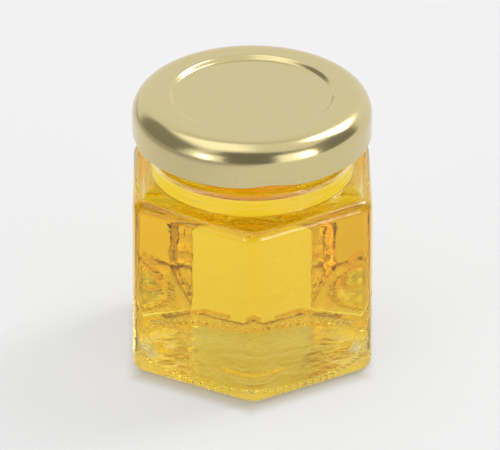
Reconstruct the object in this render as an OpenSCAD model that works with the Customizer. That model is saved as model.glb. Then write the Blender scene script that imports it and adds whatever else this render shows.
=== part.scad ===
// Small six-sided glass jar of honey with a twist-off metal lid.
// Millimetres, +Z up, origin at the middle of the base. One upright corner points to -Y.

/* [Glass body] */
// Width across the flats, low on the body
body_flats = 46.2; // [44:0.1:60]
// How much narrower the body is across the flats at its shoulder
body_draft = 0.4; // [0:0.1:2]
// Radius of the six upright corners
corner_r = 4.2; // [2.6:0.1:7]
// Radius of the heel, where the sides turn into the base
heel_r = 1.3; // [0.8:0.1:2.4]
// Height of the shoulder at its outer edge
shoulder_z = 37; // [30:0.5:60]
// Radius of the shoulder's outer edge
shoulder_r = 2.4; // [0.8:0.1:3]
// Rise of the shoulder from its outer edge to the neck
shoulder_rise = 0.5; // [0.2:0.1:3]
// Radius of the ring that the hollow under the base leaves to stand on
standing_r = 17.5; // [12:0.5:19]
// Height of the hollow under the base
push_up = 0.8; // [0.3:0.1:1.5]

/* [Glass walls] */
// Thickness of the sides
wall = 2.5; // [1.6:0.1:3.2]
// Thickness of the base, from the table to the honey
base_t = 3.5; // [2.5:0.1:8]
// Thickness of the shoulder
shoulder_t = 2.2; // [1.6:0.1:3]
// Radius of the upright corners inside
inner_corner_r = 4.5; // [4:0.1:7]
// Radius between the sides and the floor inside
inner_heel_r = 3.4; // [1:0.1:3.8]
// Radius between the sides and the shoulder inside
inner_shoulder_r = 2.8; // [1:0.1:3.8]
// Rise of the inner shoulder as it turns up into the neck
inner_rise = 1.5; // [0.5:0.1:3]

/* [Neck] */
// Radius of the neck's bore
bore_r = 16.5; // [13.5:0.1:18]
// Thickness of the neck's wall
neck_wall = 2; // [1.6:0.1:3]
// Height of the neck, from the shoulder to the rim
neck_h = 15.7; // [13:0.1:22]
// How far the ring at the foot of the neck stands out
ring_step = 1; // [0.2:0.1:1.4]
// Height of the ring at the foot of the neck
ring_h = 4.5; // [2:0.1:6]
// Rounding of the ring's upper edge
ring_round = 0.7; // [0.1:0.1:2]
// Rounding of the rim
rim_round = 0.6; // [0.2:0.1:0.9]
// How far the short threads stand out of the neck
thread_out = 2; // [1:0.1:2.5]
// Height of each short thread
thread_h = 1.4; // [0.8:0.1:2]
// Angle that each short thread covers
thread_angle = 38; // [20:1:60]

/* [Lid] */
// Thickness of the lid's metal
tin = 0.4; // [0.2:0.05:0.6]
// Height of the lid
lid_h = 8.7; // [7.5:0.1:12]
// Radius of the lid's rounded upper edge
lid_corner_r = 4.2; // [2:0.1:4.8]
// Depth of the sunken panel in the lid's top
panel_depth = 0.73; // [0.3:0.01:1.2]
// How far the panel's edge slopes inwards
panel_slope = 0.75; // [0.2:0.05:1.5]
// Radius of the curled lower edge
curl_r = 0.75; // [0.5:0.05:1]
// How far the lower edge is pressed up at each lug
lug_rise = 0.8; // [0.4:0.1:1.2]
// Thickness of each lug
lug_t = 0.6; // [0.3:0.1:1]
// Angle that each lug covers
lug_angle = 28; // [15:1:40]
// Turn of the first lug from the front corner
lug_turn = 9; // [-45:1:45]
// Number of lugs, and of short threads
lugs = 4; // [3:1:6]

/* [Honey] */
// Free height between the honey and the rim
headspace = 13.5; // [5:0.1:13.8]

/* [Clearances] */
// Room between the sunken panel's edge and the bore
panel_gap = 0.66; // [0.5:0.01:2]
// Room between the threads and the inside of the lid's skirt
skirt_gap = 2.05; // [0.5:0.05:3]
// Room between the lugs and the neck's wall
lug_gap = 0.5; // [0.2:0.1:1]
// Room between a lug and the thread above it
thread_gap = 0.2; // [0.1:0.05:0.5]

/* [Hidden] */
$fn = 96;

SIDES = 6;
ARC_STEPS = 8;       // facets round each upright corner
ROUND_STEPS = 5;     // facets round the heel and the shoulder's edge
RISE_STEPS = 4;      // facets from the shoulder's edge to the neck
ROUNDNESS = 0.97;    // corner radius of the ring that counts as round, as a share of its half width
SINK = 0.15;         // how far the faceted body runs into the turned neck
LAP = 1;             // how far turned pieces run into the faceted body
FRONT = -90;         // angle of the corner that faces forwards

half_base = body_flats / 2;
half_top = (body_flats - body_draft) / 2;
neck_z = shoulder_z + shoulder_rise;
rim_z = neck_z + neck_h;
finish_r = bore_r + neck_wall;
ring_r = finish_r + ring_step;
ring_top = neck_z + ring_h;
fill_z = rim_z - headspace;
inner_top = shoulder_z - shoulder_t;
dish_r = (standing_r * standing_r + push_up * push_up) / (2 * push_up);

lid_top = rim_z + tin;
lid_low = lid_top - lid_h;
thread_r = finish_r + thread_out;
lid_r = thread_r + skirt_gap + tin;
panel_r = bore_r - panel_gap;
panel_foot_r = panel_r - panel_slope;
lug_r = finish_r + lug_gap;
lug_low = lid_low + lug_rise;
thread_low = lug_low + lug_t + thread_gap;

// One level of the body: [height, half the width across the flats, corner radius].
function level(z, half, r) = [z, half, r];

// A level turned in by an edge rounding of radius r, at angle a of that rounding.
function rounded(z, half, corner, r, a) =
    level(z + r * sin(a), half - r * (1 - cos(a)), corner - r * (1 - cos(a)));

// Levels from a rounding's end up to a round neck: the surface steepens towards it.
function rising(z, half, corner, rise, neck) = [
    for (k = [1:RISE_STEPS])
        let (t = k / RISE_STEPS)
        level(z + rise * t * t, half + (neck - half) * t, corner + (ROUNDNESS * neck - corner) * t)
];

// The points of one level, anticlockwise, with an arc at each upright corner.
function outline(lv) = [
    for (side = [0:SIDES - 1], step = [0:ARC_STEPS])
        let (
            middle = FRONT + side * 360 / SIDES,
            a = middle + (step / ARC_STEPS - 0.5) * 360 / SIDES,
            out = (lv[1] - lv[2]) / cos(180 / SIDES)
        )
        [out * cos(middle) + lv[2] * cos(a), out * sin(middle) + lv[2] * sin(a), lv[0]]
];

// The outside of the body, from the table up into the neck's ring.
outer_levels = concat(
    [for (k = [0:ROUND_STEPS])
        rounded(heel_r, half_base, corner_r, heel_r, -90 + 90 * k / ROUND_STEPS)],
    [for (k = [0:ROUND_STEPS])
        rounded(shoulder_z - shoulder_r, half_top, corner_r, shoulder_r, 90 * k / ROUND_STEPS)],
    rising(shoulder_z, half_top - shoulder_r, corner_r - shoulder_r, shoulder_rise + SINK, ring_r - SINK)
);

// The inside of the body, from the honey's floor up into the bore.
inner_levels = concat(
    [for (k = [0:ROUND_STEPS])
        rounded(base_t + inner_heel_r, half_base - wall, inner_corner_r, inner_heel_r,
                -90 + 90 * k / ROUND_STEPS)],
    [for (k = [0:ROUND_STEPS])
        rounded(inner_top - inner_shoulder_r, half_top - wall, inner_corner_r, inner_shoulder_r,
                90 * k / ROUND_STEPS)],
    rising(inner_top, half_top - wall - inner_shoulder_r, inner_corner_r - inner_shoulder_r,
           inner_rise, bore_r - SINK)
);

// A closed solid through a list of levels.
module loft(levels) {
    n = SIDES * (ARC_STEPS + 1);
    last = len(levels) - 1;
    points = [for (lv = levels) each outline(lv)];
    sides = [
        for (k = [0:last - 1], i = [0:n - 1])
            let (a = k * n + i, b = k * n + (i + 1) % n)
            each [[a + n, b, a], [a + n, b + n, b]]
    ];
    bottom = [for (i = [0:n - 1]) i];
    top = [for (i = [n - 1:-1:0]) last * n + i];
    polyhedron(points = points, faces = concat([bottom], sides, [top]));
}

// A turned block from the axis to radius r, its upper outer edge rounded.
module round_block(r, low, high, edge) {
    translate([0, low]) square([r, high - edge - low]);
    translate([0, low]) square([r - edge, high - low]);
    translate([r - edge, high - edge]) intersection() {
        circle(edge);
        square(edge);
    }
}

// The neck with its foot ring and rim, solid through.
module neck_blank() {
    rotate_extrude() {
        round_block(ring_r, neck_z - LAP, ring_top, ring_round);
        round_block(finish_r, neck_z - LAP, rim_z, rim_round);
    }
}

// The short threads round the neck.
module threads() {
    for (k = [0:lugs - 1])
        rotate([0, 0, FRONT + lug_turn + k * 360 / lugs - thread_angle / 2])
            rotate_extrude(angle = thread_angle)
                translate([finish_r - SINK, thread_low])
                    square([thread_out + SINK, thread_h]);
}

// The space in the glass, up to the given height.
module cavity(top) {
    loft(inner_levels);
    translate([0, 0, inner_top + inner_rise - LAP])
        cylinder(r = bore_r, h = top - (inner_top + inner_rise - LAP));
}

// The rounded mouth of the bore.
module mouth() {
    translate([0, 0, rim_z - rim_round])
        cylinder(r1 = bore_r, r2 = bore_r + 2 * rim_round, h = 2 * rim_round);
}

// The shallow hollow under the base.
module base_hollow() {
    translate([0, 0, push_up - dish_r])
        sphere(r = dish_r);
}

module glass_jar() {
    color([0.93, 0.95, 0.93, 0.35])
        difference() {
            union() {
                loft(outer_levels);
                neck_blank();
                threads();
            }
            cavity(rim_z + LAP);
            mouth();
            base_hollow();
        }
}

module honey() {
    color([0.89, 0.65, 0.08, 0.8])
        cavity(fill_z);
}

// Half section of the lid's outer or inner face, taken in by the metal's thickness.
module lid_section(inset) {
    difference() {
        round_block(lid_r - inset, lid_low - LAP * sign(inset), lid_top - inset, lid_corner_r - inset);
        polygon([
            [-LAP, lid_top - inset - panel_depth],
            [panel_foot_r + inset, lid_top - inset - panel_depth],
            [panel_r + inset, lid_top - inset],
            [panel_r + inset, lid_top + LAP],
            [-LAP, lid_top + LAP]
        ]);
    }
}

// The lid's shell with its curled lower edge.
module lid_shell() {
    rotate_extrude() {
        difference() {
            lid_section(0);
            lid_section(tin);
        }
        translate([lid_r - curl_r, lid_low + curl_r])
            circle(curl_r);
    }
}

// Turns its children to every lug's start.
module at_lugs() {
    for (k = [0:lugs - 1])
        rotate([0, 0, FRONT + lug_turn + k * 360 / lugs - lug_angle / 2])
            children();
}

module lid() {
    color([0.79, 0.71, 0.47])
        union() {
            difference() {
                lid_shell();
                at_lugs()
                    rotate_extrude(angle = lug_angle)
                        translate([lid_r - 3 * curl_r, lid_low - LAP])
                            square([4 * curl_r, LAP + lug_rise]);
            }
            at_lugs()
                rotate_extrude(angle = lug_angle)
                    translate([lug_r, lug_low])
                        square([lid_r - tin / 2 - lug_r, lug_t]);
        }
}

glass_jar();
honey();
lid();
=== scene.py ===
"""The looks of a small six-sided honey jar: clear glass, golden honey and a pale gold twist-off lid."""

from __future__ import annotations

import logging
import math
from dataclasses import dataclass, field
from enum import Enum

import bpy
import numpy as np
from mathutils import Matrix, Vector

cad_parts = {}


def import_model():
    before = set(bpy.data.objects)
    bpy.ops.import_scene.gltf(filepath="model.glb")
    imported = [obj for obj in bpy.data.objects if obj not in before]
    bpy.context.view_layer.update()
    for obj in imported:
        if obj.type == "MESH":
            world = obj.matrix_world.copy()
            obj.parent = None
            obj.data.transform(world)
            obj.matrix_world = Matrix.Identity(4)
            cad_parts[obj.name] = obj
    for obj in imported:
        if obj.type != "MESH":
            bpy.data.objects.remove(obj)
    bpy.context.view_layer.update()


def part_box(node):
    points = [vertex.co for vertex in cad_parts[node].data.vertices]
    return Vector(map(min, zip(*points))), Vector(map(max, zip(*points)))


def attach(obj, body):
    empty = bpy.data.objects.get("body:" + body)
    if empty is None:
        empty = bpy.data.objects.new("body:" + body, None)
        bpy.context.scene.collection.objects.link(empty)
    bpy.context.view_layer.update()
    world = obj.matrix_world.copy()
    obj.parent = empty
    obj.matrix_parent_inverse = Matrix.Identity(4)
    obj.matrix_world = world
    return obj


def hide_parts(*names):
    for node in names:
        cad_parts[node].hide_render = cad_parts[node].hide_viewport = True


LOG = logging.getLogger("honey_jar")
MM = 0.001
BODY = "root"
SIDES = 6
FRONT = -math.pi / 2
WELD = 0.0005 * MM
TOUCH = 0.01 * MM
GLASS_BOUNCES = 24
METAL_BOUNCES = 8

Colour = tuple[float, float, float, float]
Socket = bpy.types.NodeSocket
Value = float | int | tuple | Socket
WHITE: Colour = (1.0, 1.0, 1.0, 1.0)


@dataclass
class Graph:
    """Adds nodes to a node tree and joins them up."""

    tree: bpy.types.NodeTree

    def add(self, kind: str, inputs: dict[str | int, Value] | None = None,
            **settings: object) -> bpy.types.Node:
        """Add one node.

        Args:
            kind: the node's type name.
            inputs: values or sockets for its inputs, by name or by number.
            settings: properties of the node.

        Returns:
            The new node.
        """
        node = self.tree.nodes.new(kind)
        for name, value in settings.items():
            setattr(node, name, value)
        for key, value in (inputs or {}).items():
            self.feed(node.inputs[key], value)
        return node

    def feed(self, socket: Socket, value: Value) -> None:
        """Link a socket to the input, or set the input to a plain value."""
        if isinstance(value, bpy.types.NodeSocket):
            self.tree.links.new(value, socket)
        else:
            socket.default_value = value

    def math(self, operation: str, *values: Value, clamp: bool = False) -> Socket:
        """Work out one number.

        Args:
            operation: the Math node's operation.
            values: one to three numbers or sockets.
            clamp: whether the result stays between 0 and 1.

        Returns:
            The result's socket.
        """
        node = self.add("ShaderNodeMath", dict(enumerate(values)), operation=operation, use_clamp=clamp)
        return node.outputs[0]

    def total(self, *values: Value) -> Socket:
        """Add several numbers."""
        result = values[0]
        for value in values[1:]:
            result = self.math("ADD", result, value)
        return result

    def product(self, *values: Value) -> Socket:
        """Multiply several numbers."""
        result = values[0]
        for value in values[1:]:
            result = self.math("MULTIPLY", result, value)
        return result

    def blend(self, share: Value, none: Value, full: Value) -> Socket:
        """Mix two colours.

        Args:
            share: how much of the second colour there is, from 0 to 1.
            none: the first colour.
            full: the second colour.

        Returns:
            The mixed colour's socket.
        """
        node = self.add("ShaderNodeMix", {"Factor": share}, data_type="RGBA")
        self.feed(node.inputs["A"], none)
        self.feed(node.inputs["B"], full)
        return node.outputs["Result"]

    def along(self, vector: Socket, direction: Vector) -> Socket:
        """How far a vector reaches along a fixed direction."""
        node = self.add("ShaderNodeVectorMath", {0: vector, 1: tuple(direction)}, operation="DOT_PRODUCT")
        return node.outputs["Value"]

    def smooth_step(self, value: Value, low: Value, high: Value) -> Socket:
        """Turn a number into a smooth rise from 0 at low to 1 at high."""
        node = self.add(
            "ShaderNodeMapRange",
            {"Value": value, "From Min": low, "From Max": high},
            interpolation_type="SMOOTHSTEP",
        )
        return node.outputs["Result"]


# ---------------------------------------------------------------------------------------------
# Outlines
# ---------------------------------------------------------------------------------------------


@dataclass(frozen=True)
class Level:
    """One level outline of a lofted piece, in metres.

    A level whose corner radius equals its half width is a circle.
    """

    z: float
    half: float
    corner: float

    @classmethod
    def round(cls, radius: float, z: float) -> Level:
        """A circular level."""
        return cls(z, radius, radius)

    def mixed(self, other: Level, share: float, rise: float) -> Level:
        """A level between this one and another, by its own shares across and upwards."""
        return Level(
            self.z + (other.z - self.z) * rise,
            self.half + (other.half - self.half) * share,
            self.corner + (other.corner - self.corner) * share,
        )


def turned_edge(z: float, half: float, corner: float, radius: float, start: float, end: float,
                steps: int) -> list[Level]:
    """Levels round an edge whose outline shrinks evenly on all sides.

    Args:
        z: height of the rounding's centre.
        half: half width where the rounding meets the upright side.
        corner: corner radius there.
        radius: the rounding's radius.
        start: first angle in degrees, where -90 faces down, 0 faces out and 90 faces up.
        end: last angle in degrees.
        steps: number of facets.

    Returns:
        The levels in order.
    """
    levels = []
    for angle in np.radians(np.linspace(start, end, steps + 1)):
        inset = radius * (1 - math.cos(angle))
        levels.append(Level(z + radius * math.sin(angle), half - inset, max(corner - inset, 0.0)))
    return levels


def turned_arc(centre_r: float, centre_z: float, radius: float, start: float, end: float,
               steps: int) -> list[Level]:
    """Circular levels along an arc of a turned profile.

    Args:
        centre_r: distance of the arc's centre from the axis.
        centre_z: height of the arc's centre.
        radius: the arc's radius.
        start: first angle in degrees, from the outward direction up.
        end: last angle in degrees.
        steps: number of facets.

    Returns:
        The levels in order.
    """
    return [
        Level.round(centre_r + radius * math.cos(angle), centre_z + radius * math.sin(angle))
        for angle in np.radians(np.linspace(start, end, steps + 1))
    ]


def straight(a: Level, b: Level, steps: int, hold: float = 0.2 * MM, most: float = 0.3) -> list[Level]:
    """Levels between two, with one close to each end so that shading stays flat in between.

    Args:
        a: the level before.
        b: the level after.
        steps: number of facets between the two holding levels.
        hold: distance of the holding levels from the ends.
        most: the largest share of the way that this distance may take.

    Returns:
        The levels strictly between a and b.
    """
    length = math.hypot(b.z - a.z, b.half - a.half)
    edge = min(hold / length, most) if length else most
    shares = [edge + (1 - 2 * edge) * k / steps for k in range(steps + 1)]
    return [a.mixed(b, share, share) for share in shares]


# ---------------------------------------------------------------------------------------------
# Lofts by Geometry Nodes
# ---------------------------------------------------------------------------------------------


def open_sockets(tree: bpy.types.NodeTree, side: str, sockets: dict[str, str]) -> None:
    """Give a node tree its inputs or outputs.

    Args:
        tree: the tree.
        side: INPUT or OUTPUT.
        sockets: the kind of each socket by its name, such as Float or Geometry.
    """
    for name, kind in sockets.items():
        tree.interface.new_socket(name, in_out=side, socket_type="NodeSocket" + kind)


@dataclass
class LoftTree:
    """A Geometry Nodes tree that lofts a closed skin through a list of levels.

    Its own geometry holds one point for each level: x is the half width, z the height, and the
    attribute named corner the corner radius.
    """

    name: str = "hexagonal_loft"
    tree: bpy.types.NodeTree = field(init=False)

    def __post_init__(self) -> None:
        """Build the tree once."""
        self.tree = bpy.data.node_groups.new(self.name, "GeometryNodeTree")
        open_sockets(self.tree, "INPUT", {
            "Levels": "Geometry", "Columns": "Int", "Sides": "Int", "Crowding": "Float", "Front": "Float",
            "Weld": "Float", "Material": "Material",
        })
        open_sockets(self.tree, "OUTPUT", {"Skin": "Geometry"})
        self._fill(Graph(self.tree))

    def _fill(self, g: Graph) -> None:
        """Place the nodes: a grid whose columns go round and whose rows follow the levels."""
        given = g.add("NodeGroupInput").outputs
        levels, sides = given["Levels"], given["Sides"]
        domain = g.add("GeometryNodeAttributeDomainSize", {0: levels}, component="MESH")
        count = domain.outputs["Point Count"]
        columns = g.math("ADD", given["Columns"], 1.0)
        grid = g.add(
            "GeometryNodeMeshGrid",
            {"Size X": 1.0, "Size Y": 1.0, "Vertices X": columns, "Vertices Y": count},
        )
        place = g.add("ShaderNodeSeparateXYZ", {0: g.add("GeometryNodeInputPosition").outputs[0]}).outputs
        row = g.math("ROUND", g.product(g.math("ADD", place["Y"], 0.5), g.math("SUBTRACT", count, 1.0)))
        height, half, corner = self._level_at(g, levels, row)

        turn = g.product(g.math("ADD", place["X"], 0.5), sides)
        side = g.math("FLOOR", turn)
        lean = self._crowded(g, g.math("SUBTRACT", g.math("FRACT", turn), 0.5), given["Crowding"])
        wedge = g.math("DIVIDE", 2 * math.pi, sides)
        angle = g.total(given["Front"], g.product(g.math("ADD", side, lean), wedge))
        reach = self._reach(g, half, corner, g.product(lean, wedge), g.product(wedge, 0.5))
        at = g.add(
            "ShaderNodeCombineXYZ",
            {
                "X": g.product(reach, g.math("COSINE", angle)),
                "Y": g.product(reach, g.math("SINE", angle)),
                "Z": height,
            },
        )
        placed = g.add("GeometryNodeSetPosition", {0: grid.outputs["Mesh"], "Position": at.outputs[0]})
        welded = g.add("GeometryNodeMergeByDistance", {0: placed.outputs[0], "Distance": given["Weld"]})
        hand_out(g, welded.outputs[0], given["Material"])

    @staticmethod
    def _level_at(g: Graph, levels: Socket, row: Socket) -> tuple[Socket, Socket, Socket]:
        """Read the height, half width and corner radius of a row's level."""
        index = g.add("FunctionNodeFloatToInt", {0: row}, rounding_mode="ROUND").outputs[0]
        row_of = {"Geometry": levels, "Index": index}
        point = g.add("GeometryNodeSampleIndex", row_of, data_type="FLOAT_VECTOR")
        g.feed(point.inputs["Value"], g.add("GeometryNodeInputPosition").outputs[0])
        named = g.add("GeometryNodeInputNamedAttribute", {"Name": "corner"}, data_type="FLOAT")
        corner = g.add("GeometryNodeSampleIndex", row_of, data_type="FLOAT")
        g.feed(corner.inputs["Value"], named.outputs["Attribute"])
        xyz = g.add("ShaderNodeSeparateXYZ", {0: point.outputs["Value"]}).outputs
        return xyz["Z"], xyz["X"], corner.outputs["Value"]

    @staticmethod
    def _crowded(g: Graph, lean: Socket, crowding: Socket) -> Socket:
        """Crowd the columns towards the corners: lean * (c + 4 (1 - c) lean^2)."""
        spread = g.product(g.math("SUBTRACT", 1.0, crowding), 4.0, lean, lean)
        return g.product(lean, g.math("ADD", crowding, spread))

    @staticmethod
    def _reach(g: Graph, half: Socket, corner: Socket, lean: Socket, half_wedge: Socket) -> Socket:
        """Distance of the rounded outline from the axis, at an angle from the nearest corner."""
        from_flat = g.math("SUBTRACT", half_wedge, g.math("ABSOLUTE", lean))
        core = g.math("SUBTRACT", half, corner)
        flat = g.math("DIVIDE", half, g.math("COSINE", from_flat))
        centre = g.math("DIVIDE", core, g.math("COSINE", half_wedge))
        across = g.product(centre, g.math("SINE", lean))
        under = g.math("SUBTRACT", g.product(corner, corner), g.product(across, across))
        root = g.math("SQRT", g.math("MAXIMUM", under, 0.0))
        arc = g.math("ADD", g.product(centre, g.math("COSINE", lean)), root)
        is_flat = g.math(
            "LESS_THAN",
            g.product(half, g.math("TANGENT", from_flat)),
            g.product(core, g.math("TANGENT", half_wedge)),
        )
        return g.math("ADD", arc, g.product(is_flat, g.math("SUBTRACT", flat, arc)))

    def skin(self, name: str, levels: list[Level], columns: int, crowding: float,
             material: bpy.types.Material) -> bpy.types.Object:
        """Loft a closed piece and turn it into a plain mesh.

        Args:
            name: the piece's name.
            levels: its levels, from the pole where it starts to the pole where it ends.
            columns: facets all the way round.
            crowding: 1 for evenly spaced facets, less to crowd them at the corners.
            material: its first material.

        Returns:
            The piece, with its faces pointing outwards.
        """
        mesh = bpy.data.meshes.new(name + "_levels")
        steps = [(k, k + 1) for k in range(len(levels) - 1)]
        mesh.from_pydata([(lv.half, 0, lv.z) for lv in levels], steps, [])
        attribute = mesh.attributes.new("corner", "FLOAT", "POINT")
        attribute.data.foreach_set("value", [lv.corner for lv in levels])
        values = {
            "Columns": columns, "Sides": SIDES, "Crowding": crowding, "Front": FRONT, "Weld": WELD,
            "Material": material,
        }
        return made_plain(name, mesh, self.tree, values)


def hand_out(g: Graph, geometry: Socket, material: Socket) -> None:
    """End a Geometry Nodes tree: real, smooth and dressed in its material."""
    real = g.add("GeometryNodeRealizeInstances", {0: geometry})
    smooth = g.add("GeometryNodeSetShadeSmooth", {0: real.outputs[0], "Shade Smooth": True})
    dressed = g.add("GeometryNodeSetMaterial", {0: smooth.outputs[0], "Material": material})
    g.add("NodeGroupOutput", {0: dressed.outputs[0]})


def made_plain(name: str, mesh: bpy.types.Mesh, tree: bpy.types.NodeTree,
               values: dict[str, object]) -> bpy.types.Object:
    """Run a Geometry Nodes tree on a mesh and keep the result as a plain mesh.

    Args:
        name: the finished object's name.
        mesh: the geometry that goes into the tree.
        tree: the tree.
        values: its inputs by name.

    Returns:
        A new object at the origin, with outward faces and no modifier.
    """
    source = bpy.data.objects.new(name + "_source", mesh)
    bpy.context.scene.collection.objects.link(source)
    modifier = source.modifiers.new("nodes", "NODES")
    modifier.node_group = tree
    for item in tree.interface.items_tree:
        if item.item_type == "SOCKET" and item.in_out == "INPUT" and item.name in values:
            modifier[item.identifier] = values[item.name]
    graph = bpy.context.evaluated_depsgraph_get()
    result = bpy.data.meshes.new_from_object(source.evaluated_get(graph), depsgraph=graph)
    result.name = name
    result.materials.clear()
    result.materials.append(values["Material"])
    bpy.data.objects.remove(source)
    bpy.data.meshes.remove(mesh)
    piece = bpy.data.objects.new(name, result)
    bpy.context.scene.collection.objects.link(piece)
    face_outwards(result)
    return piece


def coordinates(mesh: bpy.types.Mesh) -> np.ndarray:
    """The mesh's points as an array of rows."""
    points = np.empty(len(mesh.vertices) * 3, np.float32)
    mesh.vertices.foreach_get("co", points)
    return points.reshape(-1, 3).astype(float)


def put_coordinates(mesh: bpy.types.Mesh, points: np.ndarray) -> None:
    """Move the mesh's points."""
    mesh.vertices.foreach_set("co", points.astype(np.float32).ravel())
    mesh.update()


def face_outwards(mesh: bpy.types.Mesh) -> None:
    """Turn a closed mesh's faces round if it holds a negative volume."""
    mesh.calc_loop_triangles()
    corners = np.empty(len(mesh.loop_triangles) * 3, np.int32)
    mesh.loop_triangles.foreach_get("vertices", corners)
    triangles = coordinates(mesh)[corners.reshape(-1, 3)]
    cross = np.cross(triangles[:, 1], triangles[:, 2])
    if float(np.einsum("ij,ij->", triangles[:, 0], cross)) < 0:
        mesh.flip_normals()


# ---------------------------------------------------------------------------------------------
# Finishes
# ---------------------------------------------------------------------------------------------


def linear(red: int, green: int, blue: int) -> Colour:
    """A display colour, 0 to 255, as the linear colour that shaders take."""
    def channel(value: int) -> float:
        share = value / 255
        return share / 12.92 if share <= 0.04045 else ((share + 0.055) / 1.055) ** 2.4

    return channel(red), channel(green), channel(blue), 1.0


def scaled(colour: Colour, times: float) -> Colour:
    """A colour made lighter or darker, no channel above 1."""
    return tuple(min(channel * times, 1.0) for channel in colour[:3]) + (1.0,)


def new_material(name: str) -> tuple[bpy.types.Material, Graph, bpy.types.Node, bpy.types.Node]:
    """A material with an empty Principled shader.

    Args:
        name: the material's name.

    Returns:
        The material, its graph, the Principled node and the output node.
    """
    material = bpy.data.materials.new(name)
    material.use_nodes = True
    material.node_tree.nodes.clear()
    graph = Graph(material.node_tree)
    shader = graph.add("ShaderNodeBsdfPrincipled")
    output = graph.add("ShaderNodeOutputMaterial", {"Surface": shader.outputs[0]})
    return material, graph, shader, output


@dataclass
class Waviness:
    """A shader group of soft swells on a surface, as moulded glass and pressed sheet have."""

    tree: bpy.types.NodeTree = field(init=False)

    def __post_init__(self) -> None:
        """Build the group once."""
        self.tree = bpy.data.node_groups.new("waviness", "ShaderNodeTree")
        open_sockets(self.tree, "INPUT", {"Swells": "Float", "Upright Stretch": "Float", "Detail": "Float"})
        open_sockets(self.tree, "OUTPUT", {"Height": "Float"})
        g = Graph(self.tree)
        given = g.add("NodeGroupInput").outputs
        where = g.add("ShaderNodeTexCoord").outputs["Object"]
        stretch = g.add("ShaderNodeCombineXYZ", {"X": 1.0, "Y": 1.0, "Z": given["Upright Stretch"]})
        at = g.add("ShaderNodeVectorMath", {0: where, 1: stretch.outputs[0]}, operation="MULTIPLY")
        noise = g.add(
            "ShaderNodeTexNoise",
            {"Vector": at.outputs[0], "Scale": given["Swells"], "Detail": given["Detail"]},
        )
        g.add("NodeGroupOutput", {"Height": noise.outputs["Fac"]})

    def place(self, g: Graph, swells: float, stretch: float = 1.0, detail: float = 1.0) -> Socket:
        """Place the group in a material.

        Args:
            g: the material's graph.
            swells: number of swells per metre.
            stretch: how many there are upwards for each one across, less than 1 for upright lines.
            detail: how fine the smaller swells on them are.

        Returns:
            The height's socket, about 0 to 1.
        """
        node = g.add("ShaderNodeGroup", node_tree=self.tree)
        for name, value in (("Swells", swells), ("Upright Stretch", stretch), ("Detail", detail)):
            node.inputs[name].default_value = value
        return node.outputs["Height"]


@dataclass(frozen=True)
class Glass:
    """Clear moulded glass, or the wetted side of it, where only the step to the honey bends light.

    Swells and ripples are given by their number per metre and their depth in millimetres, and
    lighter says how much lighter the tint is on the swells.
    """

    name: str
    ior: float
    tint: Colour
    swells: tuple[float, float]
    ripples: tuple[float, float]
    roughness: float = 0.0
    lighter: float = 0.02

    def build(self, waviness: Waviness) -> bpy.types.Material:
        """Make the material."""
        material, g, shader, _ = new_material(self.name)
        shader.inputs["Transmission Weight"].default_value = 1.0
        shader.inputs["Roughness"].default_value = self.roughness
        shader.inputs["IOR"].default_value = self.ior
        broad = waviness.place(g, self.swells[0])
        fine = waviness.place(g, self.ripples[0], detail=2.0)
        tinted = g.blend(broad, self.tint, scaled(self.tint, 1 + self.lighter))
        g.feed(shader.inputs["Base Color"], tinted)
        height = g.math("ADD", g.product(broad, self.swells[1]), g.product(fine, self.ripples[1]))
        bump = g.add("ShaderNodeBump", {"Strength": 1.0, "Distance": MM, "Height": height})
        g.feed(shader.inputs["Normal"], bump.outputs[0])
        return material


@dataclass(frozen=True)
class Honey:
    """Clear golden honey: it takes blue out of the light, and a little green, by its depth.

    Clouds is the number per metre of faint clouds in it, which have the colour of cloud.
    """

    name: str
    ior: float
    taken_per_metre: tuple[float, float, float]
    clouds: float = 60.0
    cloud: Colour = (1.0, 0.985, 0.94, 1.0)

    def build(self, waviness: Waviness) -> bpy.types.Material:
        """Make the material."""
        material, g, shader, output = new_material(self.name)
        shader.inputs["Transmission Weight"].default_value = 1.0
        shader.inputs["Roughness"].default_value = 0.0
        shader.inputs["IOR"].default_value = self.ior
        g.feed(shader.inputs["Base Color"], g.blend(waviness.place(g, self.clouds), self.cloud, WHITE))
        most = max(self.taken_per_metre)
        passed = tuple(1 - taken / most for taken in self.taken_per_metre) + (1.0,)
        depth = g.add("ShaderNodeVolumeAbsorption", {"Color": passed, "Density": most})
        g.feed(output.inputs["Volume"], depth.outputs[0])
        return material


@dataclass(frozen=True)
class GoldLacquer:
    """Tinplate under pale gold lacquer, with the fine upright lines of the pressed skirt.

    Grain and lines are given by their number per metre. Uneven is the spread of the colour, and
    worn that of the roughness.
    """

    name: str
    colour: Colour
    roughness: float
    line_depth: float
    grain: float = 900.0
    grain_share: float = 0.4
    lines: float = 2600.0
    line_stretch: float = 0.03
    uneven: float = 0.05
    worn: float = 0.06

    def build(self, waviness: Waviness) -> bpy.types.Material:
        """Make the material."""
        material, g, shader, _ = new_material(self.name)
        shader.inputs["Metallic"].default_value = 1.0
        grain = g.product(waviness.place(g, self.grain, detail=3.0), self.grain_share)
        lines = waviness.place(g, self.lines, stretch=self.line_stretch, detail=2.0)
        mixed = g.math("ADD", grain, g.product(lines, 1 - self.grain_share))
        dark, light = scaled(self.colour, 1 - self.uneven), scaled(self.colour, 1 + self.uneven)
        g.feed(shader.inputs["Base Color"], g.blend(mixed, dark, light))
        rough = g.math("MULTIPLY_ADD", mixed, 2 * self.worn, self.roughness - self.worn)
        g.feed(shader.inputs["Roughness"], rough)
        bump = g.add("ShaderNodeBump", {"Strength": 1.0, "Distance": self.line_depth, "Height": mixed})
        g.feed(shader.inputs["Normal"], bump.outputs[0])
        return material


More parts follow.
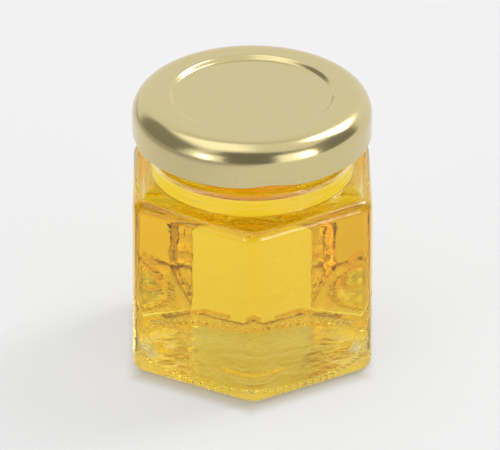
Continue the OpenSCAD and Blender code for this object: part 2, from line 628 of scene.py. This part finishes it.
@dataclass
class Finishes:
    """Every finish of the jar. Taken is what each metre of honey takes from red, green and blue."""

    waviness: Waviness = field(default_factory=Waviness)
    glass_ior: float = 1.52
    honey_ior: float = 1.49
    wet_ior: float = 1.006
    clear: Colour = (0.985, 0.995, 0.985, 1.0)
    pressed: Colour = (0.97, 0.88, 0.6, 1.0)
    gold_shade: Colour = linear(212, 197, 146)
    taken: tuple[float, float, float] = (0.3, 9.0, 86.0)
    glass: bpy.types.Material = field(init=False)
    pressed_glass: bpy.types.Material = field(init=False)
    wet_glass: bpy.types.Material = field(init=False)
    honey: bpy.types.Material = field(init=False)
    honey_top: bpy.types.Material = field(init=False)
    gold: bpy.types.Material = field(init=False)

    def __post_init__(self) -> None:
        """Build the materials."""
        still = (90.0, 0.0)
        glass = Glass("jar_glass", self.glass_ior, self.clear, (150.0, 0.055), (700.0, 0.009))
        pressed = Glass("pressed_base", self.glass_ior, self.pressed, (220.0, 0.5), (900.0, 0.14), 0.24)
        self.glass = glass.build(self.waviness)
        self.pressed_glass = pressed.build(self.waviness)
        self.wet_glass = Glass("wetted_glass", self.wet_ior, WHITE, still, still).build(self.waviness)
        self.honey = Honey("honey_against_glass", 1.0, self.taken).build(self.waviness)
        self.honey_top = Honey("honey_level", self.honey_ior, self.taken).build(self.waviness)
        self.gold = GoldLacquer("gold_lacquer", self.gold_shade, 0.18, 0.003 * MM).build(self.waviness)


# ---------------------------------------------------------------------------------------------
# The jar
# ---------------------------------------------------------------------------------------------


@dataclass(frozen=True)
class Grip:
    """Where the lid's lugs grip the short threads: the same turns round the jar for both."""

    count: int = 4
    turn: float = math.radians(9)

    def share(self, points: np.ndarray, half_angle: float, fade: float) -> np.ndarray:
        """How much each point lies within a lug or a thread, by its angle round the jar.

        Args:
            points: the points, one in each row.
            half_angle: half the angle that one lug or thread covers.
            fade: angle over which it runs out at each end.

        Returns:
            A share from 0 to 1 for each point.
        """
        angle = np.arctan2(points[:, 1], points[:, 0]) - FRONT - self.turn
        pitch = 2 * math.pi / self.count
        off = np.abs((angle + pitch / 2) % pitch - pitch / 2)
        share = np.clip((half_angle + fade - off) / (2 * fade), 0, 1)
        return share * share * (3 - 2 * share)


@dataclass
class GlassJar:
    """The six-sided glass jar: sizes in metres, driven by the frame's box for this node."""

    low: Vector
    high: Vector
    draft: float = 0.2 * MM
    corner: float = 4.2 * MM
    heel: float = 1.3 * MM
    shoulder: float = 37 * MM
    shoulder_edge: float = 2.4 * MM
    shoulder_rise: float = 0.5 * MM
    standing: float = 17.5 * MM
    push_up: float = 0.8 * MM
    wall: float = 2.5 * MM
    base: float = 3.5 * MM
    shoulder_wall: float = 2.2 * MM
    inner_corner: float = 4.5 * MM
    inner_heel: float = 3.4 * MM
    inner_edge: float = 2.8 * MM
    inner_rise: float = 1.5 * MM
    bore: float = 16.5 * MM
    finish: float = 18.5 * MM
    ring: float = 19.5 * MM
    ring_height: float = 4.5 * MM
    ring_edge: float = 0.7 * MM
    mould_lines: tuple[float, ...] = (39.4 * MM, 40.5 * MM)
    line_depth: float = 0.16 * MM
    line_half: float = 0.3 * MM
    rim_edge: float = 0.6 * MM
    thread_low: float = 46.5 * MM
    thread_height: float = 1.4 * MM
    thread_edge: float = 0.35 * MM
    thread_out: float = 2 * MM
    thread_half_angle: float = math.radians(18)
    thread_fade: float = math.radians(2)
    grip: Grip = Grip()
    columns: int = 288
    crowding: float = 0.3

    @property
    def half(self) -> float:
        """Half the width across the flats at the base."""
        return (self.high.x - self.low.x) / 2

    @property
    def rim(self) -> float:
        """Height of the rim."""
        return self.high.z

    @property
    def neck(self) -> float:
        """Height of the neck's foot."""
        return self.shoulder + self.shoulder_rise

    def base_levels(self) -> list[Level]:
        """The underside: a shallow hollow and the flat ring that the jar stands on."""
        curve = (self.standing ** 2 + self.push_up ** 2) / (2 * self.push_up)
        hollow = []
        for radius in np.linspace(0, self.standing, 13):
            drop = curve - math.sqrt(curve ** 2 - radius ** 2)
            hollow.append(Level.round(float(radius), self.push_up - drop))
        foot = Level(0, self.half - self.heel, self.corner - self.heel)
        return hollow + straight(hollow[-1], foot, 6)

    def side_levels(self) -> list[Level]:
        """The outside from the heel up the sides and over the shoulder's edge."""
        top = self.half - self.draft
        heel = turned_edge(self.heel, self.half, self.corner, self.heel, -90, 0, 10)
        bend = self.shoulder_edge
        edge = turned_edge(self.shoulder - bend, top, self.corner, bend, 0, 90, 12)
        return heel + straight(heel[-1], edge[0], 6) + edge

    def neck_levels(self, below: Level) -> list[Level]:
        """The outside from the shoulder up the neck and over the rim."""
        foot = Level.round(self.ring, self.neck)
        slope = [below.mixed(foot, t, t * t) for t in np.linspace(0, 1, 9)[1:]]
        edge, lip = self.ring_edge, self.rim_edge
        reach = max(self.finish - self.ring + edge, 0.0)
        turn = math.degrees(math.acos(reach / edge))
        ring = turned_arc(self.ring - edge, self.neck + self.ring_height - edge, edge, 0, turn, 8)
        rim = turned_arc(self.finish - lip, self.rim - lip, lip, 0, 90, 6)
        mouth = turned_arc(self.bore + lip, self.rim - lip, lip, 90, 180, 6)
        levels = slope
        for line in self.mould_lines:
            above, deepest = line - self.line_half, Level.round(self.ring - self.line_depth, line)
            levels += straight(levels[-1], Level.round(self.ring, above), 2)
            levels += [deepest, Level.round(self.ring, line + self.line_half)]
        levels += ring + [Level.round(self.finish, ring[-1].z)]
        levels += self._thread_levels() + rim + straight(rim[-1], mouth[0], 2) + mouth
        return levels

    def _thread_levels(self) -> list[Level]:
        """The neck's wall where the short threads stand out of it, with room for their edges."""
        low, high, rise = self.thread_low, self.thread_low + self.thread_height, self.thread_edge
        heights = (low - rise, low, low + rise, high - rise, high, high + rise)
        return [Level.round(self.finish, z) for z in heights]

    def _raise_threads(self, mesh: bpy.types.Mesh) -> None:
        """Push the neck's wall out into the short threads."""
        points = coordinates(mesh)
        on_wall = np.hypot(points[:, 0], points[:, 1]) > self.finish - self.rim_edge / 2
        middle = self.thread_low + self.thread_height / 2
        beyond = np.abs(points[:, 2] - middle) - self.thread_edge
        profile = np.clip(1 - beyond / self.thread_edge, 0, 1)
        share = self.grip.share(points, self.thread_half_angle, self.thread_fade) * profile * on_wall
        points[:, :2] *= (1 + self.thread_out / self.finish * share)[:, None]
        put_coordinates(mesh, points)

    def inside_levels(self, reach: float = 0.0) -> list[Level]:
        """The inside from the bore's foot down to the middle of the floor.

        Args:
            reach: how far the levels lie beyond the glass's inner face, into the wall.

        Returns:
            The levels from the top down.
        """
        top = self.half - self.draft - self.wall + reach
        low = self.half - self.wall + reach
        corner, edge, heel = self.inner_corner + reach, self.inner_edge + reach, self.inner_heel + reach
        level = self.shoulder - self.shoulder_wall
        bore = Level.round(self.bore + reach, level + self.inner_rise)
        turn = turned_edge(level - self.inner_edge, top, corner, edge, 90, 0, 12)
        rising = [turn[0].mixed(bore, t, t * t) for t in np.linspace(1, 0, 11)[:-1]]
        foot = turned_edge(self.base + self.inner_heel, low, corner, heel, 0, -90, 14)
        centre = Level(foot[-1].z, 0.0, 0.0)
        wall, floor = straight(turn[-1], foot[0], 6), straight(foot[-1], centre, 8)
        return rising + turn + wall + foot + floor + [centre]

    def levels(self, fill: float) -> list[Level]:
        """The whole skin, from the middle of the underside to the middle of the floor inside.

        Args:
            fill: height of the honey's level, where the bore has an edge between dry and wet.

        Returns:
            The levels along the skin.
        """
        base, side = self.base_levels(), self.side_levels()
        inside = self.inside_levels()
        neck = self.neck_levels(side[-1])
        shore = Level.round(self.bore, fill)
        bore = straight(neck[-1], shore, 5) + [shore] + straight(shore, inside[0], 4)
        return base + side + neck + bore + inside

    def build(self, loft: LoftTree, finishes: Finishes, fill: float) -> bpy.types.Object:
        """Make the glass.

        Args:
            loft: the loft tree.
            finishes: the finishes.
            fill: height of the honey's level.

        Returns:
            The glass piece: dry glass first, then wetted glass, then the pressed underside.
        """
        piece = loft.skin("jar_glass", self.levels(fill), self.columns, self.crowding, finishes.glass)
        piece.data.materials.append(finishes.wet_glass)
        piece.data.materials.append(finishes.pressed_glass)
        self._mark_wet(piece.data, fill)
        self._raise_threads(piece.data)
        return piece

    def _mark_wet(self, mesh: bpy.types.Mesh, fill: float) -> None:
        """Give the inner faces below the honey's level the wetted finish, and the underside its own."""
        for polygon in mesh.polygons:
            middle, facing = polygon.center, polygon.normal
            in_bore = math.hypot(middle.x, middle.y) < self.bore + TOUCH
            inner = in_bore or middle.x * facing.x + middle.y * facing.y < 0
            wet = inner and self.base - TOUCH < middle.z < fill
            underneath = middle.z < self.push_up and facing.z < -0.5
            polygon.material_index = 2 if underneath else int(wet)


@dataclass
class HoneyFill:
    """The honey: it follows the jar's inside and reaches just into the wall."""

    jar: GlassJar
    fill: float
    reach: float = 0.12 * MM
    meniscus: float = 0.35 * MM
    meniscus_width: float = 1.6 * MM

    def top_levels(self) -> list[Level]:
        """The level surface from its middle out to the wall, where it climbs a little."""
        edge = self.jar.bore + self.reach
        levels = []
        for radius in np.linspace(0, edge - self.meniscus_width, 8):
            levels.append(Level.round(float(radius), self.fill))
        for share in np.linspace(0, 1, 8)[1:]:
            radius = edge - self.meniscus_width * (1 - share)
            levels.append(Level.round(radius, self.fill + self.meniscus * share ** 3))
        return levels

    def build(self, loft: LoftTree, finishes: Finishes) -> bpy.types.Object:
        """Make the honey, with its level surface in a second slot."""
        top = self.top_levels()
        inside = self.jar.inside_levels(self.reach)
        levels = top + straight(top[-1], inside[0], 5) + inside
        piece = loft.skin("honey_fill", levels, self.jar.columns, self.jar.crowding, finishes.honey)
        piece.data.materials.append(finishes.honey_top)
        for polygon in piece.data.polygons:
            radius = math.hypot(polygon.center.x, polygon.center.y)
            on_top = polygon.center.z > self.fill - 2 * TOUCH and radius < self.jar.bore
            polygon.material_index = int(on_top)
        return piece


@dataclass
class TwistLid:
    """The metal lid: rounded edge, sunken panel, curled lower edge pressed up at four lugs."""

    low: Vector
    high: Vector
    sheet: float = 0.4 * MM
    corner: float = 4.2 * MM
    panel: float = 15.84 * MM
    panel_slope: float = 0.75 * MM
    panel_depth: float = 0.73 * MM
    panel_edge: float = 0.6 * MM
    curl: float = 0.55 * MM
    grip: Grip = Grip()
    lug_reach: float = 3 * MM
    lug_half_angle: float = math.radians(8)
    lug_fade: float = math.radians(8)
    lug_rise: float = 0.6 * MM
    lug_pinch: float = 0.1 * MM
    lug_height: float = 2.4 * MM
    columns: int = 360

    @property
    def radius(self) -> float:
        """The lid's outer radius."""
        return (self.high.x - self.low.x) / 2

    def _top(self, inset: float) -> list[Level]:
        """The upper face from the middle of the panel to the skirt, taken in by the sheet's thickness."""
        top = self.high.z - inset
        foot = self.panel - self.panel_slope + inset
        edge = self.panel_edge
        slope = math.degrees(math.atan2(self.panel_depth, self.panel_slope))
        tangent = edge * math.tan(math.radians(slope) / 2)
        floor = top - self.panel_depth
        levels = [Level.round(0.0, floor)]
        levels += straight(levels[0], Level.round(foot - tangent, floor), 8)
        levels += turned_arc(foot - tangent, floor + edge, edge, -90, slope - 90, 5)
        lip = self.panel + inset
        levels += turned_arc(lip + tangent, top - edge, edge, 90 + slope, 90, 5)
        bend = self.corner - inset
        side = self.radius - inset
        levels += straight(levels[-1], Level.round(side - bend, top), 3)
        levels += turned_arc(side - bend, top - bend, bend, 90, 0, 20)
        return levels

    def levels(self) -> list[Level]:
        """The lid's whole skin, from the panel's upper face round the lower edge to its underside."""
        outer, inner = self._top(0.0), self._top(self.sheet)
        low = self.low.z
        curl = turned_arc(self.radius - self.curl, low + self.curl, self.curl, 0, -180, 14)
        back = Level.round(self.radius - 2 * self.curl, low + 1.6 * self.curl)
        under = Level.round(self.radius - self.sheet, low + 2.6 * self.curl)
        skirt = straight(outer[-1], curl[0], 10)
        inside = [back] + straight(back, under, 1) + straight(under, inner[-1], 6)
        return outer + skirt + curl + inside + inner[::-1]

    def build(self, loft: LoftTree, finishes: Finishes) -> bpy.types.Object:
        """Make the lid and press its lower edge up at the lugs."""
        piece = loft.skin("lid_shell", self.levels(), self.columns, 1.0, finishes.gold)
        points = coordinates(piece.data)
        share = self.grip.share(points, self.lug_half_angle, self.lug_fade)
        height = np.clip(1 - (points[:, 2] - self.low.z) / self.lug_height, 0, 1) ** 2
        points[:, 2] += self.lug_rise * share * height
        depth = self.radius - self.curl - np.hypot(points[:, 0], points[:, 1])
        tab = np.clip(depth / self.curl, 0, 1) * (points[:, 2] < self.low.z + 2 * self.curl)
        inwards = 1 - (self.lug_pinch * height + self.lug_reach * tab) / self.radius * share
        points[:, :2] *= inwards[:, None]
        put_coordinates(piece.data, points)
        return piece


@dataclass
class Stipples:
    """The ring of small beads that the jar stands on, placed by Geometry Nodes.

    Least and most are the shares of a bead's size between which each bead's size is drawn.
    """

    radius: float = 19.3 * MM
    count: int = 76
    length: float = 1.9 * MM
    width: float = 0.75 * MM
    height: float = 0.42 * MM
    least: tuple[float, float, float] = (0.75, 0.8, 0.8)
    most: tuple[float, float, float] = (1.2, 1.15, 1.0)
    seed: int = 7

    def tree(self) -> bpy.types.NodeTree:
        """Build the tree: beads on a circle, each turned to the axis and uneven in size."""
        tree = bpy.data.node_groups.new("bead_ring", "GeometryNodeTree")
        open_sockets(tree, "INPUT", {
            "Start": "Geometry", "Count": "Int", "Radius": "Float", "Bead": "Vector", "Seed": "Int",
            "Least": "Vector", "Most": "Vector", "Material": "Material",
        })
        open_sockets(tree, "OUTPUT", {"Beads": "Geometry"})
        g = Graph(tree)
        given = g.add("NodeGroupInput").outputs
        ring = g.add("GeometryNodeMeshCircle", {"Vertices": given["Count"], "Radius": given["Radius"]})
        index = g.add("GeometryNodeInputIndex").outputs[0]
        wedge = g.math("DIVIDE", 2 * math.pi, given["Count"])
        spin = g.add("ShaderNodeCombineXYZ", {"Z": g.product(index, wedge)})
        uneven = g.add(
            "FunctionNodeRandomValue",
            {0: given["Least"], 1: given["Most"], "Seed": given["Seed"]},
            data_type="FLOAT_VECTOR",
        )
        size = g.add("ShaderNodeVectorMath", {0: given["Bead"], 1: uneven.outputs[0]}, operation="MULTIPLY")
        bead = g.add("GeometryNodeMeshUVSphere", {"Segments": 10, "Rings": 6, "Radius": 0.5})
        placed = g.add(
            "GeometryNodeInstanceOnPoints",
            {"Points": ring.outputs[0], "Instance": bead.outputs["Mesh"], "Rotation": spin.outputs[0],
             "Scale": size.outputs[0]},
        )
        hand_out(g, placed.outputs[0], given["Material"])
        return tree

    def build(self, finishes: Finishes) -> bpy.types.Object:
        """Make the beads and lift them so that they stand on the table."""
        mesh = bpy.data.meshes.new("bead_ring_start")
        mesh.from_pydata([(0, 0, 0)], [], [])
        values = {
            "Count": self.count, "Radius": self.radius, "Seed": self.seed, "Least": self.least,
            "Most": self.most, "Bead": (self.length, self.width, self.height), "Material": finishes.glass,
        }
        piece = made_plain("jar_stipples", mesh, self.tree(), values)
        points = coordinates(piece.data)
        points[:, 2] += self.height / 2
        put_coordinates(piece.data, points)
        return piece


# ---------------------------------------------------------------------------------------------
# The studio
# ---------------------------------------------------------------------------------------------


class Seen(Enum):
    """Which rays see a panel: every ray, or one kind, named as the light path's output."""

    ALWAYS = ""
    IN_REFLECTIONS = "Is Reflection Ray"
    THROUGH_GLASS = "Is Transmission Ray"


@dataclass(frozen=True)
class Panel:
    """A soft panel far away, bright or dark, seen from the jar: directions in degrees.

    Azimuth 0 is in front of the jar and 90 to its right.
    """

    azimuth: float
    elevation: float
    half_width: float
    half_height: float
    level: float
    edge: float
    seen: Seen = Seen.ALWAYS


@dataclass
class Studio:
    """The pale floor, the soft light round the jar and the camera."""

    floor_half: float = 3.0
    floor_shade: float = 0.3
    floor_glow: float = 0.535
    floor_roughness: float = 0.9
    floor_gloss: float = 0.1
    paper_grain: float = 400.0
    paper_spread: float = 0.005
    # Painted light: under the jar the floor is lighter and amber and glows amber, standing for the light
    # that the honey lets down onto it.
    painted_pool_colour: Colour = (0.9, 0.85, 0.6, 1.0)
    painted_pool_glow: Colour = (0.52, 0.36, 0.003, 1.0)
    foot: float = 20 * MM
    foot_fade: float = 2.8 * MM
    # Painted shadow: a darker glow round the jar's foot, shifted to the front and left, for the contact
    # shadow.
    painted_shadow_glow: Colour = (0.32, 0.29, 0.2, 1.0)
    painted_shadow_start: float = 20.4 * MM
    painted_shadow_fade: float = 4.2 * MM
    painted_shadow_shift: Vector = Vector((-0.4 * MM, -3.2 * MM, 0))
    # Painted shade: for every ray but the camera's, the floor's glow is darker towards the jar's left and a
    # little to the front.
    painted_shade_side: Vector = Vector((-0.94, -0.34, 0))
    painted_shade_start: float = 40 * MM
    painted_shade_end: float = 260 * MM
    painted_shade_glow: float = 0.12
    backdrop: float = 0.887
    base_level: float = 0.93
    warm: Colour = (1.0, 0.92, 0.78, 1.0)
    panels: tuple[Panel, ...] = (
        Panel(-99, 22, 31, 27, 0.3, 0.2),
        Panel(88, 18, 26, 25, 0.25, 0.25),
        Panel(14, 46, 50, 8, 0.42, 0.35),
        Panel(-3, 28, 25, 31, 0.22, 0.2),
        Panel(-44, 13, 14, 17, 1.3, 0.3),
        Panel(43, 16, 17, 20, 1.5, 0.3),
        Panel(-46, 12, 5, 9, 5.0, 0.4, Seen.IN_REFLECTIONS),
        Panel(52, 15, 6, 11, 7.0, 0.4, Seen.IN_REFLECTIONS),
        Panel(122, 47, 9, 15, 11.0, 0.3),
        Panel(-86, 72, 22, 17, 1.6, 0.4),
        Panel(175, 64, 24, 8, 0.75, 0.5),
        Panel(180, 27, 66, 27, 0.66, 0.3, Seen.THROUGH_GLASS),
    )
    lens: float = 366.3
    distance: float = 985.1 * MM
    elevation: float = math.radians(29.22)
    turn: float = math.radians(-0.44)
    aim_height: float = 24.65 * MM
    aim_side: float = -0.39 * MM
    clip: float = 10 * MM

    def build_floor(self) -> bpy.types.Object:
        """Make the floor, a pale matte sheet with a painted amber glow under the jar and a painted contact
        shadow round its foot.
        """
        mesh = bpy.data.meshes.new("floor")
        h = self.floor_half
        mesh.from_pydata([(-h, -h, 0), (h, -h, 0), (h, h, 0), (-h, h, 0)], [], [(0, 1, 2, 3)])
        mesh.materials.append(self._floor_material())
        floor = bpy.data.objects.new("floor", mesh)
        bpy.context.scene.collection.objects.link(floor)
        return floor

    def _floor_material(self) -> bpy.types.Material:
        """The floor's finish: its shade, the glow that stands for light from all round, a painted amber
        pool of light under the jar and a painted contact shadow round its foot.
        """
        material, g, shader, _ = new_material("pale_floor")
        shader.inputs["Roughness"].default_value = self.floor_roughness
        shader.inputs["Specular IOR Level"].default_value = self.floor_gloss
        noise = g.add("ShaderNodeTexNoise", {"Scale": self.paper_grain, "Detail": 2.0}).outputs["Fac"]
        light = (self.floor_shade,) * 3 + (1.0,)
        paper = g.blend(noise, scaled(light, 1 - self.paper_spread), light)
        open_floor = self._beyond(g, Vector(), self.foot, self.foot_fade)
        # Painted light: within the jar's footprint the floor's colour is lighter and amber.
        g.feed(shader.inputs["Base Color"], g.blend(open_floor, self.painted_pool_colour, paper))
        # Painted light and shade in the glow: amber under the jar, darker round its foot for the contact
        # shadow, shifted to the front and left, then the open floor's glow.
        painted_near_glow = g.blend(open_floor, self.painted_pool_glow, self.painted_shadow_glow)
        past_painted_shadow = self._beyond(g, self.painted_shadow_shift, self.painted_shadow_start, self.painted_shadow_fade)
        g.feed(shader.inputs["Emission Color"], g.blend(past_painted_shadow, painted_near_glow, self._open_glow(g)))
        shader.inputs["Emission Strength"].default_value = 1.0
        return material

    def _open_glow(self, g: Graph) -> Socket:
        """The open floor's glow, with painted shade on one side for every ray but the camera's."""
        place = g.add("ShaderNodeTexCoord").outputs["Object"]
        painted_shade = g.smooth_step(g.along(place, self.painted_shade_side), self.painted_shade_start, self.painted_shade_end)
        unseen = g.math("SUBTRACT", 1.0, g.add("ShaderNodeLightPath").outputs["Is Camera Ray"])
        change = self.painted_shade_glow - self.floor_glow
        level = g.math("MULTIPLY_ADD", g.product(painted_shade, unseen), change, self.floor_glow)
        grey = g.add("ShaderNodeCombineColor", {"Red": level, "Green": level, "Blue": level})
        return grey.outputs[0]

    def _beyond(self, g: Graph, middle: Vector, start: float, width: float) -> Socket:
        """A mask of the floor: 0 within a six-sided patch under the jar and 1 beyond it.

        Args:
            g: the floor's shader graph.
            middle: middle of the patch.
            start: where the mask starts to rise, from the middle towards a side.
            width: how far it rises.

        Returns:
            The mask.
        """
        place = g.add("ShaderNodeTexCoord").outputs["Object"]
        shifted = g.add("ShaderNodeVectorMath", {0: place, 1: middle}, operation="SUBTRACT")
        where = shifted.outputs["Vector"]
        reach: Value = 0.0
        for side in range(SIDES // 2):
            angle = side * 2 * math.pi / SIDES
            across = g.along(where, Vector((math.cos(angle), math.sin(angle), 0)))
            reach = g.math("MAXIMUM", reach, g.math("ABSOLUTE", across))
        return g.smooth_step(reach, start, start + width)

    def build_light(self) -> None:
        """Make the light: a soft studio all round, with brighter and darker panels."""
        world = bpy.data.worlds.new("studio")
        bpy.context.scene.world = world
        world.use_nodes = True
        world.node_tree.nodes.clear()
        g = Graph(world.node_tree)
        towards = g.add("ShaderNodeTexCoord").outputs["Generated"]
        shade: Value = self.base_level
        kinds = g.add("ShaderNodeLightPath").outputs
        warmth: Value = 0.0
        for panel in self.panels:
            mask = self._panel(g, towards, panel)
            if panel.seen is not Seen.ALWAYS:
                mask = g.product(mask, kinds[panel.seen.value])
            if panel.seen is Seen.THROUGH_GLASS:
                warmth = g.math("MAXIMUM", warmth, mask)
            shade = g.math("ADD", shade, g.product(mask, g.math("SUBTRACT", panel.level, shade)))
        plain = g.product(kinds["Is Camera Ray"], g.math("SUBTRACT", self.backdrop, shade))
        shown = g.math("ADD", shade, plain)
        tone = g.blend(warmth, WHITE, self.warm)
        light = g.add("ShaderNodeBackground", {"Color": tone, "Strength": shown})
        g.add("ShaderNodeOutputWorld", {"Surface": light.outputs[0]})

    def _panel(self, g: Graph, towards: Socket, panel: Panel) -> Socket:
        """How much of one panel is seen in a direction."""
        azimuth, elevation = math.radians(panel.azimuth), math.radians(panel.elevation)
        flat = Vector((math.sin(azimuth), -math.cos(azimuth), 0))
        axis = flat * math.cos(elevation) + Vector((0, 0, math.sin(elevation)))
        side = Vector((math.cos(azimuth), math.sin(azimuth), 0))
        upward = axis.cross(side)
        ahead = g.along(towards, axis)
        safe = g.math("MAXIMUM", ahead, 0.001)
        mask = g.math("GREATER_THAN", ahead, 0.0)
        for direction, half in ((side, panel.half_width), (upward, panel.half_height)):
            reach = math.tan(math.radians(half))
            off = g.math("ABSOLUTE", g.math("DIVIDE", g.along(towards, direction), safe))
            inside = g.smooth_step(off, reach * (1 + panel.edge), reach * (1 - panel.edge))
            mask = g.product(mask, inside)
        return mask

    def build_camera(self) -> None:
        """Make the camera: a long lens that looks down on the corner in front."""
        data = bpy.data.cameras.new("camera")
        data.lens = self.lens
        data.clip_start = self.clip
        camera = bpy.data.objects.new("camera", data)
        bpy.context.scene.collection.objects.link(camera)
        azimuth = FRONT + self.turn
        flat = Vector((math.cos(azimuth), math.sin(azimuth), 0))
        back = flat * math.cos(self.elevation) + Vector((0, 0, math.sin(self.elevation)))
        side = Vector((-math.sin(azimuth), math.cos(azimuth), 0))
        target = side * self.aim_side + Vector((0, 0, self.aim_height))
        camera.location = target + back * self.distance
        camera.rotation_euler = (-back).to_track_quat("-Z", "Y").to_euler()
        bpy.context.scene.camera = camera


def dress(piece: bpy.types.Object, node: str) -> None:
    """Tie a finished piece to the frame.

    Args:
        piece: the piece.
        node: the CAD node that it stands for.
    """
    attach(piece, BODY)
    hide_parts(node)
    LOG.info("%s: %d faces", piece.name, len(piece.data.polygons))


def set_up_light_paths() -> None:
    """Let light pass through all the walls of glass and honey, and keep colours plain."""
    cycles = bpy.context.scene.cycles
    cycles.max_bounces = cycles.transmission_bounces = GLASS_BOUNCES
    cycles.glossy_bounces = METAL_BOUNCES
    bpy.context.scene.view_settings.view_transform = "Standard"


def main() -> None:
    """Load the frame, build every piece around it and set the studio."""
    logging.basicConfig(level=logging.INFO, format="%(name)s %(message)s")
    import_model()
    finishes = Finishes()
    loft = LoftTree()
    jar = GlassJar(*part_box("glass_jar"))
    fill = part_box("honey")[1].z
    glass = jar.build(loft, finishes, fill)
    dress(glass, "glass_jar")
    dress(Stipples().build(finishes), "glass_jar")
    dress(HoneyFill(jar, fill).build(loft, finishes), "honey")
    dress(TwistLid(*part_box("lid")).build(loft, finishes), "lid")
    studio = Studio()
    studio.build_floor()
    studio.build_light()
    studio.build_camera()
    set_up_light_paths()


if __name__ == "__main__":
    main()
